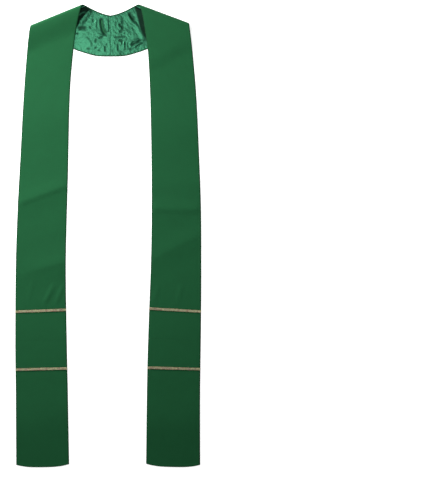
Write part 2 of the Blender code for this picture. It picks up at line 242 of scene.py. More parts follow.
# The rise goes over at least this width, leaves this room under the front, is full this far in from the
# roll, ends at this share of its way, and falls again from this far under the front, over this distance
LEAST_CLIMB = 4.0
ROOM_KEPT = 0.4
CLIMB_FROM_ROLL = 7.0
CLIMB_END = 1.2
COVERED = 3.0
COVERED_FADE = 24.0

# Painted shade deep in the folds beside the neck: full after this share of the rise, where the room is this
# high, and this much of it at the roll. A crest lightens it by this much for each millimetre, and a hollow of
# this depth would be all in painted shade, but is at most this dark.
SHADE_WAY = 0.3
SHADE_ROOM = 2.5
SHADE_AT_ROLL = 0.85
CREST_LIGHT = 0.45
HOLLOW_SHADE = 2.2
DARKEST_HOLLOW = 0.6

# Hollows of the satin under the fronts, which lies on the surface, as (share of the width from the inner
# edge, drop)
FRONT_CREASES = {
    "left": [
        Crease([(0.0, 474), (0.5, 503), (1.0, 536)], -1.0, 8, 5, 12),
        Crease([(0.1, 676), (0.55, 694), (0.95, 717)], -0.8, 9, 9, 22),
        Crease([(0.0, 771), (0.7, 768)], -0.7, 8, 8, 20),
        Crease([(0.2, 899), (1.0, 896)], -0.8, 9, 9, 22),
        Crease([(0.0, 1041), (0.5, 1030), (1.0, 1022)], -0.8, 8, 8, 20),
        Crease([(0.15, 1131), (0.8, 1127)], -0.7, 9, 9, 20),
        Crease([(0.3, 1189), (1.0, 1191)], -0.6, 8, 8, 18),
        Crease([(0.3, 250), (0.45, 330), (0.4, 420)], -0.6, 12, 12, 40),
        Crease([(0.75, 560), (0.6, 640)], -0.6, 11, 11, 30),
    ],
    "right": [
        Crease([(0.2, 195), (0.4, 203)], -0.8, 5, 5, 8),
        Crease([(0.0, 556), (0.5, 553), (1.0, 557)], -1.0, 5, 9, 10),
        Crease([(0.1, 604), (0.9, 600)], -0.7, 9, 9, 22),
        Crease([(0.0, 757), (0.6, 760)], -0.8, 8, 8, 20),
        Crease([(0.15, 857), (1.0, 862)], -0.7, 9, 9, 22),
        Crease([(0.0, 962), (0.75, 958)], -0.7, 8, 8, 18),
        Crease([(0.1, 1101), (0.9, 1096)], -0.9, 8, 8, 20),
        Crease([(0.3, 1149), (1.0, 1152)], -0.7, 8, 8, 20),
        Crease([(0.1, 1216), (0.7, 1212)], -0.6, 8, 8, 15),
        Crease([(0.6, 270), (0.45, 360), (0.55, 450)], -0.6, 12, 12, 40),
        Crease([(0.3, 640), (0.45, 720)], -0.6, 11, 11, 30),
    ],
}

# Ridges of the face cloth and its soft ripples above the upper band, as (out, drop)
FACE_CREASES = {
    "left": [
        Crease([(118, 487.5), (150, 499.5), (182, 511.5), (214, 523.5), (246, 535.5)], 0.8, 32, 14, 10),
        Crease([(122, 692), (150, 700), (190, 712), (230, 724)], 0.4, 30, 16, 20),
        Crease([(150, 748), (166, 782), (184, 814)], 1.2, 9, 12, 24),
        Crease([(127, 752), (139, 786), (151, 815)], 0.9, 8, 10, 22),
        Crease([(205, 735), (216, 775), (222, 812)], 0.5, 12, 12, 26),
    ],
    "right": [
        Crease([(114, 552.5), (150, 553), (190, 553.5), (240, 554)], 0.8, 32, 14, 10),
        Crease([(238, 620), (180, 650), (125, 680)], 0.35, 16, 30, 20),
        Crease([(130, 752), (122, 790), (118, 815)], 0.6, 10, 12, 24),
        Crease([(196, 748), (186, 785), (182, 812)], 0.6, 12, 12, 24),
    ],
}

# Seam puckers of the lining, whose pitch drifts along the edge, and the stitch lines that the braid leaves
PUCKER_PITCH = 24.0
PUCKER_DRIFT = 131.0
PUCKER_SWAY = 2.2
PUCKER_DEPTH = 0.45
PUCKER_REACH = 16.0
STITCH_LINE_DEPTH = 0.35
STITCH_LINE_REACH = 3.5

# The deepest hollow of the satin, the drop from which its hollows start, and the nominal width that they
# are laid to
DEEPEST = 1.05
HOLLOWS_START = 130.0
HOLLOWS_FADE = 60.0
HOLLOWS_WIDTH = 140.0

# Size of the small round where an edge turns under, how far the doubly turned corners of a hem stand up,
# and how far a turned edge is tucked up where the hem covers it
TURN_RISE = 0.4
CORNER_LIFT = 0.6
TUCK_LIFT = 0.3

# The last plain row stops this far before the hem's round; heights closer than this count as one
HEM_CLEAR = 0.4
SAME_HEIGHT = 0.01

# How the lining's edge is tucked under the turned face cloth
LINING_TUCK = 0.5
LINING_TUCK_RISE = 0.45
LINING_SHOWN = 0.6

# The centre-back seam: the share of the gap that is closed, the way over which it is, and the round of its
# edges
SEAM_CLOSED = 0.94
SEAM_PULL = 4.0
SEAM_ROUND = 1.0
SEAM_SINK = 0.8

# Braids: the height of their middle over the cloth, the step along them, and how far they bend down over an
# edge, in how many points
BRAID_LIFT = 0.72
BRAID_STEP = 0.55
BRAID_BEND = math.radians(52)
BEND_POINTS = 5

# A plait's last stretch, the shares of swing, width and height that are left at its end, how far the two
# yarns of a strand lie from its middle, in widths of a yarn, and the sides of a yarn
PLAIT_END = 1.6
END_SWING = 0.72
END_WIDTH = 0.55
END_HEIGHT = 0.4
YARN_SPACING = 0.52
YARN_SIDES = 6

# A stitch: its length, half thickness and rise, and the share of the thickness at points along it
Stitch = namedtuple("Stitch", "length thick rise")
STITCH_TAPER = np.array([0.35, 0.9, 1.0, 0.9, 0.35])
STITCH_SIDES = 5

# Stitches of a braid: how far beside its middle they run, the step of that line, how high it is over the
# cloth of a front and of the yoke, and how many of its points stay free at each end of a front's braid
BRAID_STITCH = Stitch(1.3, 0.16, 0.3)
BRAID_STITCH_PITCH = 4.2
STITCH_ASIDE = 2.75
STITCH_STEP = 0.6
FRONT_STITCH_LIFT = 0.75
CROSS_STITCH_LIFT = 0.6
STITCHES_CLEAR = 6

# Stitches of an edge: how far inside the turned edge they run, how far below the seam surface, and the step
# of their line
EDGE_STITCH = Stitch(1.5, 0.13, 0.14)
EDGE_STITCH_ASIDE = 0.1
EDGE_STITCH_DEPTH = LINING_DEPTH - 0.05
EDGE_STITCH_STEP = 0.7

# Shader pitches in metres: puckers beside the braid and the edges, and the twist of yarn and sewing thread
BRAID_PUCKERS = 0.0056
EDGE_PUCKERS = 0.0065
YARN_TWIST = 0.0011
THREAD_TWIST = 0.0005

# Shader distances in metres: how far the puckers reach on the face, on the satin and from its edges, how wide
# the painted shade along the edges is, and where the painted shade beside a braid starts and how far it goes
FACE_PUCKER_REACH = 0.017
SATIN_PUCKER_REACH = 0.014
EDGE_PUCKER_REACH = 0.012
PAINTED_EDGE_SHADE = 0.0042
BRAID_SHADE_START = 0.0036
BRAID_SHADE_REACH = 0.004

# How far the floor reaches to each side, and its height
FLOOR_REACH = 40000.0
FLOOR_DROP = -0.2

# Softboxes, in metres
Softbox = namedtuple("Softbox", "name place aim size power")
SOFTBOXES = [
    Softbox("overhead_softbox", (-0.31, 0.5, 1.3), (-0.17, 0.42, 0.0), (0.6, 0.5), "main_power"),
    Softbox("left_softbox", (-1.42, 1.3, 0.56), (-0.1, 0.1, 0.0), (0.4, 0.3), "left_power"),
    Softbox("right_softbox", (0.8, 2.1, 1.0), (0.0, 0.1, 0.0), (0.5, 0.35), "right_power"),
]

# Folds sharper than this are shaded as an edge
SHARP_FOLD = math.radians(65)

# How finely a crossing is searched, the yoke's edge divided, and a slope and a crease measured
HALVINGS = 40
YOKE_STEPS = 60
SLOPE_STEP = 0.5
CREASE_STEP = 4.0

# Rows closer than this at an edge are taken as square to it, and none as more slanted than by this sine
LEAST_STEP = 0.2
LEAST_SINE = 0.5
FAR_AWAY = 1000.0
TINY = 1e-9


def ease(x):
    """0 to 1 as x goes from 0 to 1, with level ends."""
    x = np.clip(x, 0.0, 1.0)
    return x * x * (3 - 2 * x)


def on_curve(rows, x):
    """The rows' second column where the first is x, on a smooth curve through the rows."""
    xs, ys = np.array(rows, float).T
    k = np.arange(len(xs))
    before, after = np.maximum(k - 1, 0), np.minimum(k + 1, len(xs) - 1)
    slope = (ys[after] - ys[before]) / (xs[after] - xs[before])
    i = np.clip(np.searchsorted(xs, x, side="right") - 1, 0, len(xs) - 2)
    span = xs[i + 1] - xs[i]
    u = (x - xs[i]) / span
    ends = ys[i] * (2 * u**3 - 3 * u**2 + 1) + ys[i + 1] * (3 * u**2 - 2 * u**3)
    return ends + span * (slope[i] * (u**3 - 2 * u**2 + u) + slope[i + 1] * (u**3 - u**2))


def by_drop(rows):
    """Plan points of a front's edge, from their drops."""
    return lambda drop: np.stack([on_curve(rows, drop), drop], axis=-1)


def by_out(rows):
    """Plan points of a yoke's edge, from their distances out."""
    return lambda out: np.stack([out, on_curve(rows, out)], axis=-1)


def front_ends(half, drop):
    return on_curve(half.inner, drop), on_curve(half.outer, drop)


def in_from_fold(half, depth):
    """The plan point this far in from the neck point, square to the folded edge."""
    return half.neck + half.inward * depth


def past_roll(half, out, drop):
    """How far plan points lie in from where the roll begins."""
    depth = (out - half.neck[0]) * half.inward[0] + (drop - half.neck[1]) * half.inward[1]
    return depth - half.roll - FACE_WALL


def meet(place, rows, start, along):
    """Where an edge crosses each line through start; place makes the edge's plan points from its rows."""
    edge = place(rows)
    low, high = (np.full(len(along), float(rows[k][0])) for k in (0, -1))

    def side(x):
        away = edge(x) - start
        return along[:, 0] * away[:, 1] - along[:, 1] * away[:, 0]

    rising = side(high) > side(low)
    for _ in range(HALVINGS):
        middle = (low + high) / 2
        upper = (side(middle) > 0) == rising
        low, high = np.where(upper, low, middle), np.where(upper, middle, high)
    return edge((low + high) / 2)


def raise_over_cross(out, drop):
    """How far the yoke is held up by the cross under it."""
    x = np.abs(out)
    beyond = np.maximum(np.maximum(CROSS_TOP_DROP - drop, drop - CROSS_FOOT_DROP), 0)
    to_upright = np.hypot(x, beyond)
    to_arm = np.hypot(np.maximum(x - CROSS_ARM_REACH, 0), drop - CROSS_ARM_DROP)
    away = np.minimum(to_upright, to_arm) - RAISE_FLAT
    return CROSS_RAISE * (1 - ease(away / RAISE_FALL))


def past_yoke(half, out, drop):
    """How far a plan point lies outside the yoke's lower edge; negative on the yoke."""
    end = half.yoke_edge[-1][0]
    near = np.full(out.shape, np.inf)
    for x, y in by_out(half.yoke_edge)(np.linspace(0, end, YOKE_STEPS + 1)):
        near = np.minimum(near, (out - x) ** 2 + (drop - y) ** 2)
    inside = (out <= end) & (drop < on_curve(half.yoke_edge, np.clip(out, 0.0, end)))
    return np.where(inside, -1, 1) * np.sqrt(near)


def wave_height(half, out, drop):
    total = np.zeros(out.shape)
    inner, outer = front_ends(half, drop)
    across = (out - inner) / (outer - inner) - 0.5
    for wave in WAVES:
        if wave.half == half.name:
            away = np.abs(drop - wave.drop - wave.slant * across * (outer - inner)) / wave.reach
            away = np.minimum(away, 1.0)
            crest = (1 - wave.crisp) * (1 - ease(away)) + wave.crisp * (1 - away) ** 2
            total += wave.height * crest * (1 + wave.lean * across)
    return total


def front_height(half, out, drop):
    """Height of the seam surface of a front above the floor."""
    over = 1 - ease((past_yoke(half, out, drop) - COVER_CLEAR) / COVER_FALL)
    rest = LINING_DEPTH + OVER_YOKE * over
    sunk = ease(past_roll(half, out, drop) / half.tail)
    roll_top = FACE_WALL + 2 * half.roll
    return rest + (roll_top - rest) * (1 - sunk) + wave_height(half, out, drop)


def yoke_height(half, out, drop):
    return FACE_WALL + raise_over_cross(out, drop)


def in_frame(half, out, drop, height):
    return np.stack([CENTRE_SEAM_X + half.sign * out, NECK_POINT_Y - drop, height], axis=-1)


def surface_normal(half, height, out, drop):
    """Unit normals, facing up, of a height over the plan."""
    reach = 2 * SLOPE_STEP
    dx = (height(half, out + SLOPE_STEP, drop) - height(half, out - SLOPE_STEP, drop)) / reach
    dy = (height(half, out, drop + SLOPE_STEP) - height(half, out, drop - SLOPE_STEP)) / reach
    return unit(np.stack([-half.sign * dx, dy, np.ones(out.shape)], axis=-1))


def unit(vectors):
    return vectors / np.maximum(np.linalg.norm(vectors, axis=-1, keepdims=True), TINY)


def way_along(path):
    """How far along a path each of its points is."""
    return np.concatenate([[0], np.cumsum(np.linalg.norm(np.diff(path, axis=0), axis=1))])


def at_ways(wanted, ways, values):
    """Rows of values, given at some ways along a path, at the wanted ways."""
    return np.stack([np.interp(wanted, ways, column) for column in values.T], axis=-1)


def evenly(path, ups, step):
    """The same line with points an even step apart."""
    ways = way_along(path)
    wanted = np.linspace(0, ways[-1], int(ways[-1] / step) + 1)
    return at_ways(wanted, ways, path), unit(at_ways(wanted, ways, ups))


def smooth_path(points, step):
    """Points on a smooth curve through the given ones, about a step apart."""
    points = np.array(points, float)
    padded = np.vstack([2 * points[0] - points[1], points, 2 * points[-1] - points[-2]])
    made = []
    for k in range(len(points) - 1):
        a, b, c, d = padded[k : k + 4]
        count = max(int(np.linalg.norm(c - b) / step), 1)
        u = (np.arange(count) / count)[:, None]
        square, cube = 2 * a - 5 * b + 4 * c - d, 3 * b - a - 3 * c + d
        made.append(0.5 * (2 * b + (c - a) * u + square * u**2 + cube * u**3))
    return np.vstack(made + [points[-1:]])


def crease_height(creases, out, drop):
    """How far a cloth stands out of its plain surface at plan points."""
    total = np.zeros(out.shape)
    for crease in creases:
        path = smooth_path(crease.path, CREASE_STEP)
        steps = np.diff(path, axis=0)
        lengths = np.linalg.norm(steps, axis=1)
        ways = way_along(path)
        near = np.full(out.shape, np.inf)
        along = np.zeros(out.shape)
        side = np.zeros(out.shape)
        for (x, y), (dx, dy), length, start in zip(path, steps, lengths, ways):
            share = np.clip(((out - x) * dx + (drop - y) * dy) / length**2, 0, 1)
            away = np.hypot(out - x - share * dx, drop - y - share * dy)
            closer = away < near
            near = np.where(closer, away, near)
            along = np.where(closer, start + share * length, along)
            side = np.where(closer, dx * (drop - y) - dy * (out - x), side)
        reach = np.where(side > 0, crease.right, crease.left)
        profile = (1 - np.minimum(near / reach, 1) ** 2) ** 2
        ends = ease(np.minimum(along, ways[-1] - along) / crease.fade)
        total += crease.height * profile * ends
    return total


# Rows of a half's grid: the part that each lies on, the plan points of its inner and outer end, its share
# of the roll's half turn, and its height in the profile of the turned hem
Rows = namedtuple("Rows", "part inner outer turn lift")
YOKE, ROLL, FRONT = range(3)


def edge_profile(turn_under):
    """The face cloth's section at an edge, as (distance from the edge, height over the seam surface)."""
    corner = FACE_WALL - EDGE_ROUND
    low = -LINING_DEPTH
    profile = [(turn_under, low), (TURN_RISE, low), (0.0, low + TURN_RISE), (0.0, corner)]
    for angle in (math.pi / 6, math.pi / 3, math.pi / 2):
        profile.append((EDGE_ROUND * (1 - math.cos(angle)), corner + EDGE_ROUND * math.sin(angle)))
    return profile


def lining_profile(turn_under):
    """The lining's section at an edge, tucked under the turned face cloth."""
    tucked = (turn_under - LINING_TUCK, -LINING_DEPTH + LINING_TUCK_RISE)
    return [tucked, (turn_under + LINING_SHOWN, -LINING_DEPTH)]


def yoke_rows(half):
    """Ends of the rows that fan out over the yoke, from the centre-back seam to the roll."""
    start, along = in_from_fold(half, half.roll + FACE_WALL), half.along
    pivot = np.array([SEAM_GAP / 2, start[1] + (SEAM_GAP / 2 - start[0]) * along[1] / along[0]])
    turns = np.array(SEAM_TURNS + [k / FAN_ROWS for k in range(1, FAN_ROWS)])
    angles = turns * math.atan2(along[0], along[1])
    rays = np.stack([np.sin(angles), np.cos(angles)], axis=-1)
    return [meet(by_out, rows, pivot, rays) for rows in (half.neck_edge, half.yoke_edge)]


def roll_rows(half):
    """Ends of the rows of the roll, where the yoke's outline turns into the front's, and the turn of each."""
    turn = np.linspace(0, 1, ROLL_ROWS + 1)[:, None]
    start = in_from_fold(half, half.roll + FACE_WALL)
    shift = half.inward * half.roll * np.cos((turn - 0.5) * math.pi)
    ends = []
    for yoke, front in ((half.neck_edge, half.inner), (half.yoke_edge, half.outer)):
        below = meet(by_out, yoke, start, half.along[None])
        above = meet(by_drop, front, start, half.along[None])
        ends.append(below * (1 - turn) + above * turn - shift)
    return *ends, turn[:, 0]


def front_rows(half, hem_profile):
    """Ends of the front's rows and the lift of each, down to the hem and round it as the profile goes."""
    drops = []
    for depth in np.arange(NEAR_STEP, NEAR_END + NEAR_STEP / 2, NEAR_STEP):
        start = in_from_fold(half, half.roll + FACE_WALL + depth)
        ends = [meet(by_drop, rows, start, half.along[None])[0, 1] for rows in (half.inner, half.outer)]
        drops.append(ends)
    slant = ends[1] - ends[0]
    for share in np.arange(1, TURN_ROWS + 1) / TURN_ROWS:
        drop = ends[0] + (TURN_END_DROP - ends[0]) * share
        drops.append([drop, drop + slant * (1 - float(ease(share)))])
    hems = [half.inner[-1][0], half.outer[-1][0]]
    above_hem = hem_profile[-1][0] + HEM_CLEAR
    count = int((hems[0] - TURN_END_DROP) / PLAIN_STEP)
    for share in np.arange(1, count + 1) / count:
        drops.append([TURN_END_DROP + (hem - above_hem - TURN_END_DROP) * share for hem in hems])
    lifts = [FACE_WALL] * len(drops)
    for away, lift in reversed(hem_profile):
        drops.append([hem - away for hem in hems])
        lifts.append(lift)
    drops = np.array(drops)
    return by_drop(half.inner)(drops[:, 0]), by_drop(half.outer)(drops[:, 1]), np.array(lifts)


def strip_rows(half, hem_profile):
    yoke_inner, yoke_outer = yoke_rows(half)
    roll_inner, roll_outer, turn = roll_rows(half)
    front_inner, front_outer, lifts = front_rows(half, hem_profile)
    part = np.repeat([YOKE, ROLL, FRONT], [len(yoke_inner), len(roll_inner), len(front_inner)])
    turns = np.concatenate([np.zeros(len(yoke_inner)), turn, np.ones(len(front_inner))])
    lifts = np.concatenate([np.full(len(yoke_inner) + len(turn), FACE_WALL), lifts])
    inner = np.vstack([yoke_inner, roll_inner, front_inner])
    outer = np.vstack([yoke_outer, roll_outer, front_outer])
    return Rows(part, inner, outer, turns, lifts)


def edge_stretch(ends, others):
    """How much longer a step along each row is than the same step square to the strip's edge."""
    edge = np.gradient(ends, axis=0)
    across = others - ends
    edge_length = np.linalg.norm(edge, axis=1)
    sine = np.abs(edge[:, 0] * across[:, 1] - edge[:, 1] * across[:, 0])
    sine = sine / np.maximum(edge_length * np.linalg.norm(across, axis=1), TINY)
    return np.where(edge_length > LEAST_STEP, 1 / np.maximum(sine, LEAST_SINE), 1.0)


def column_shares(rows, profile, middle):
    """Share of the width of every grid point, and the profile height of each column (nan in the middle)."""
    wide = np.linalg.norm(rows.outer - rows.inner, axis=1)
    near = edge_stretch(rows.inner, rows.outer) / wide
    far = edge_stretch(rows.outer, rows.inner) / wide
    first, last = profile[-1][0] * near, 1 - profile[-1][0] * far
    inner = [near * away for away, _ in profile]
    between = [first + (last - first) * (k + 1) / (middle + 1) for k in range(middle)]
    outer = [1 - far * away for away, _ in reversed(profile)]
    lifts = [lift for _, lift in profile]
    return np.stack(inner + between + outer, axis=1), np.array(lifts + [np.nan] * middle + lifts[::-1])


# A cloth laid on a half: its rows, the share of the width and the profile height of each column, its plan
# points as out and drop, and their places and normals on the seam surface
Sheet = namedtuple("Sheet", "half rows shares lifts out drop places normals")


def lay_strip(half, profile, middle):
    """The grid of a cloth with this edge profile and this many columns between its edges."""
    rows = strip_rows(half, profile)
    shares, lifts = column_shares(rows, profile, middle)
    plan = rows.inner[:, None] + (rows.outer - rows.inner)[:, None] * shares[..., None]
    out, drop = plan[..., 0].copy(), plan[..., 1].copy()
    # The halves meet at the centre-back seam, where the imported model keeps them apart
    yoke = rows.part == YOKE
    out[yoke] -= SEAM_CLOSED * SEAM_GAP / 2 * (1 - ease((out[yoke] - SEAM_GAP / 2) / SEAM_PULL))
    front = rows.part == FRONT
    hem = (half.inner[-1][0] + half.outer[-1][0]) / 2
    bow = HEM_BOW * (1 - np.abs(2 * shares[front] - 1) ** 3)
    drop[front] += bow * ease(1 - (hem - drop[front]) / HEM_REACH)

    places = np.zeros((*out.shape, 3))
    normals = np.zeros((*out.shape, 3))
    for part, height, up in ((YOKE, yoke_height, -1), (FRONT, front_height, 1)):
        here = rows.part == part
        places[here] = in_frame(half, out[here], drop[here], height(half, out[here], drop[here]))
        normals[here] = surface_normal(half, height, out[here], drop[here]) * up
    here = rows.part == ROLL
    angle = ((rows.turn[here] - 0.5) * math.pi)[:, None] + np.zeros(out[here].shape)
    height = FACE_WALL + half.roll * (1 + np.sin(angle))
    places[here] = in_frame(half, out[here], drop[here], height)
    level = np.cos(angle)
    aside, back = -half.sign * half.inward[0] * level, half.inward[1] * level
    normals[here] = np.stack([aside, back, np.sin(angle)], axis=-1)
    return Sheet(half, rows, shares, lifts, out, drop, places, normals)


def seam_sink(out):
    """How far a cloth turns in beside the centre-back seam."""
    away = np.clip(out / SEAM_ROUND, 0, 1)
    return SEAM_SINK * (1 - np.sqrt(1 - (1 - away) ** 2))


def band_distance(half, out, drop):
    """Distance along the front from plan points to the middle of the nearest braid, above zero below it."""
    inner, outer = front_ends(half, drop)
    across = (out - inner) / (outer - inner)
    best = np.full(out.shape, FAR_AWAY)
    for band in BANDS:
        if band.half is half:
            away = drop - band.inner_drop - (band.outer_drop - band.inner_drop) * across
            best = np.where(np.abs(away) < np.abs(best), away, best)
    return best


def cloth_maps(sheet):
    """UV maps in metres: across and along the cloth, and how far the nearest edge and braid are."""
    rows, shares = sheet.rows, sheet.shares
    along = way_along(sheet.places[:, shares.shape[1] // 2])
    wide = np.linalg.norm(rows.outer - rows.inner, axis=1)[:, None]
    across = shares * wide
    cloth = np.stack([across, along[:, None] + np.zeros(shares.shape)], axis=-1) * MM
    on_front = (rows.part == FRONT)[:, None]
    to_band = np.where(on_front, band_distance(sheet.half, sheet.out, sheet.drop), FAR_AWAY)
    edges = np.stack([np.minimum(across, wide - across), to_band], axis=-1) * MM
    return {"cloth": cloth, "edges": edges}


def add_object(name, points, faces, maps, finish):
    """A mesh object from points in millimetres, with smooth shading and its UV maps given point by point."""
    mesh = bpy.data.meshes.new(name)
    mesh.from_pydata((points * MM).tolist(), [], faces.tolist())
    corners = np.empty(len(mesh.loops), dtype=np.int32)
    mesh.loops.foreach_get("vertex_index", corners)
    for label, values in maps.items():
        layer = mesh.uv_layers.new(name=label)
        layer.data.foreach_set("uv", values.reshape(-1, 2)[corners].astype(np.float32).ravel())
    mesh.shade_smooth()
    mesh.materials.append(finish)
    made = bpy.data.objects.new(name, mesh)
    bpy.context.scene.collection.objects.link(made)
    return made


def settle(piece, node=None):
    """Put a piece on the one body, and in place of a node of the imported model."""
    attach(piece, "root")
    if node:
        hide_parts(node)


def add_sheet(name, sheet, lift, facing, wall, maps, finish):
    """A thin cloth at this height over the seam surface. Its wall lies behind the side that faces along the
    sheet's normals (facing 1) or against them (-1)."""
    points = (sheet.places + sheet.normals * lift[..., None]).reshape(-1, 3)
    rows, columns = lift.shape
    k = np.arange(rows * columns).reshape(rows, columns)
    faces = np.stack([k[:-1, :-1], k[:-1, 1:], k[1:, 1:], k[1:, :-1]], axis=-1).reshape(-1, 4)
    sample = faces[len(faces) // 2]
    normal = np.cross(points[sample[1]] - points[sample[0]], points[sample[3]] - points[sample[0]])
    if normal @ sheet.normals.reshape(-1, 3)[sample[0]] * facing < 0:
        faces = faces[:, ::-1]
    made = add_object(name, points, faces, maps, finish)
    made.data.set_sharp_from_angle(angle=SHARP_FOLD)
    thick = made.modifiers.new("cloth wall", "SOLIDIFY")
    thick.thickness = wall
    thick.offset = -1
    return made


def tube(path, side, up, wide, high, sides):
    """An oval tube along a path, open at both ends. wide and high are its half sizes, each a number or one
    for every point."""
    count = len(path)
    wide, high = np.zeros(count) + wide, np.zeros(count) + high
    angle = np.arange(sides) * TURN / sides
    ring = side[:, None] * (wide[:, None] * np.cos(angle))[..., None]
    ring = ring + up[:, None] * (high[:, None] * np.sin(angle))[..., None]
    points = (path[:, None] + ring).reshape(-1, 3)
    k = np.arange(count * sides).reshape(count, sides)
    around = np.roll(k, -1, axis=1)
    faces = np.stack([k[:-1], around[:-1], around[1:], k[1:]], axis=-1).reshape(-1, 4)
    along = np.repeat(way_along(path)[:, None] * MM, sides, axis=1)
    uvs = np.stack([np.tile(angle / TURN, (count, 1)), along], axis=-1)
    return points, faces, uvs.reshape(-1, 2)


def add_tubes(name, tubes, finish, node=None):
    """Tubes as one piece. Its first UV map follows each yarn, and a second, where there is one, the braid."""
    counts = [len(points) for points, _, _ in tubes]
    starts = np.cumsum([0] + counts[:-1])
    points = np.vstack([points for points, _, _ in tubes])
    faces = np.vstack([faces + start for (_, faces, _), start in zip(tubes, starts)])
    uvs = np.concatenate([uvs for _, _, uvs in tubes])
    layers = np.moveaxis(uvs.reshape(len(uvs), -1, 2), 1, 0)
    piece = add_object(name, points, faces, dict(zip(("yarn", "braid"), layers)), finish)
    settle(piece, node)


def taper(least, share):
    return least + (1 - least) * share


def plait(path, up, sizes):
    """Tubes of a flat plait, two yarns a strand, along a path with the given up directions."""
    along = unit(np.gradient(path, axis=0))
    side = unit(np.cross(up, along))
    ways = way_along(path)
    ends = ease(np.minimum(ways, ways[-1] - ways) / PLAIT_END)
    yarn_wide, yarn_high = sizes.yarn_width / MM, sizes.yarn_height / MM
    swing = (sizes.braid_width / MM / 2 - yarn_wide) * taper(END_SWING, ends)
    widest = np.max(swing) + yarn_wide
    half_wide = yarn_wide / 2 * taper(END_WIDTH, ends)
    half_high = yarn_high / 2 * taper(END_HEIGHT, ends)
    tubes = []
    for strand in range(sizes.strands):
        phase = TURN * (ways / (sizes.plait_length / MM) + strand / sizes.strands)
        sway = swing * np.sin(phase)
        lift = sizes.plait_relief / MM * np.sin((sizes.strands - 1) * phase)
        heading = np.arctan2(np.gradient(sway), np.gradient(ways))
        turned = side * np.cos(heading)[:, None] - along * np.sin(heading)[:, None]
        centre = path + side * sway[:, None] + up * lift[:, None]
        place = np.repeat(np.stack([sway / widest, ways * MM], axis=-1), YARN_SIDES, axis=0)
        for yarn in (0, 1):
            offset = turned * ((2 * yarn - 1) * yarn_wide * YARN_SPACING)
            points, faces, uvs = tube(centre + offset, turned, up, half_wide, half_high, YARN_SIDES)
            uvs[:, 0] += 2 * strand + yarn
            tubes.append((points, faces, np.stack([uvs, place], axis=1)))
    return tubes


def stitch_tubes(path, ups, pitch, stitch):
    """Short bowed stitches along a path, this far apart."""
    ways = way_along(path)
    share = np.linspace(0, 1, len(STITCH_TAPER))
    bow = stitch.rise * (np.sin(share * math.pi) - 0.5)
    thick = stitch.thick * STITCH_TAPER
    tubes = []
    for start in np.arange(pitch / 2, ways[-1] - stitch.length, pitch):
        here = start + stitch.length * share
        lifts = unit(at_ways(here, ways, ups))
        points = at_ways(here, ways, path) + lifts * bow[:, None]
        side = unit(np.cross(lifts, np.gradient(points, axis=0)))
        tubes.append(tube(points, side, lifts, thick, thick, STITCH_SIDES))
    return tubes


def sum_of(operation, reflected=False):
    """A method that adds the Math node of one operation; a reflected one takes the value second."""

    def method(self, *others):
        values = (*others, self) if reflected else (self, *others)
        return self.finish.maths(operation, *values)

    return method


class Value:
    """A shader socket that takes part in sums; each sum adds its Math node."""

    def __init__(self, finish, socket):
        self.finish = finish
        self.socket = socket

    __add__ = __radd__ = sum_of("ADD")
    __sub__ = sum_of("SUBTRACT")
    __rsub__ = sum_of("SUBTRACT", reflected=True)
    __mul__ = __rmul__ = sum_of("MULTIPLY")
    __truediv__ = sum_of("DIVIDE")
    __abs__ = sum_of("ABSOLUTE")
    floor = sum_of("FLOOR")
    above = sum_of("GREATER_THAN")
    power = sum_of("POWER")
    smaller = sum_of("MINIMUM")
    larger = sum_of("MAXIMUM")
    sine = sum_of("SINE")

    def clamped(self):
        return self.larger(0.0).smaller(1.0)

    def fade(self, reach):
        """1 where this is 0, falling to 0 where it comes to reach."""
        return 1 - (self / reach).smaller(1.0)

    def wave(self, pitch, shift=0.0):
        """A sine wave that repeats with this pitch."""
        return (self * (TURN / pitch) + shift).sine()


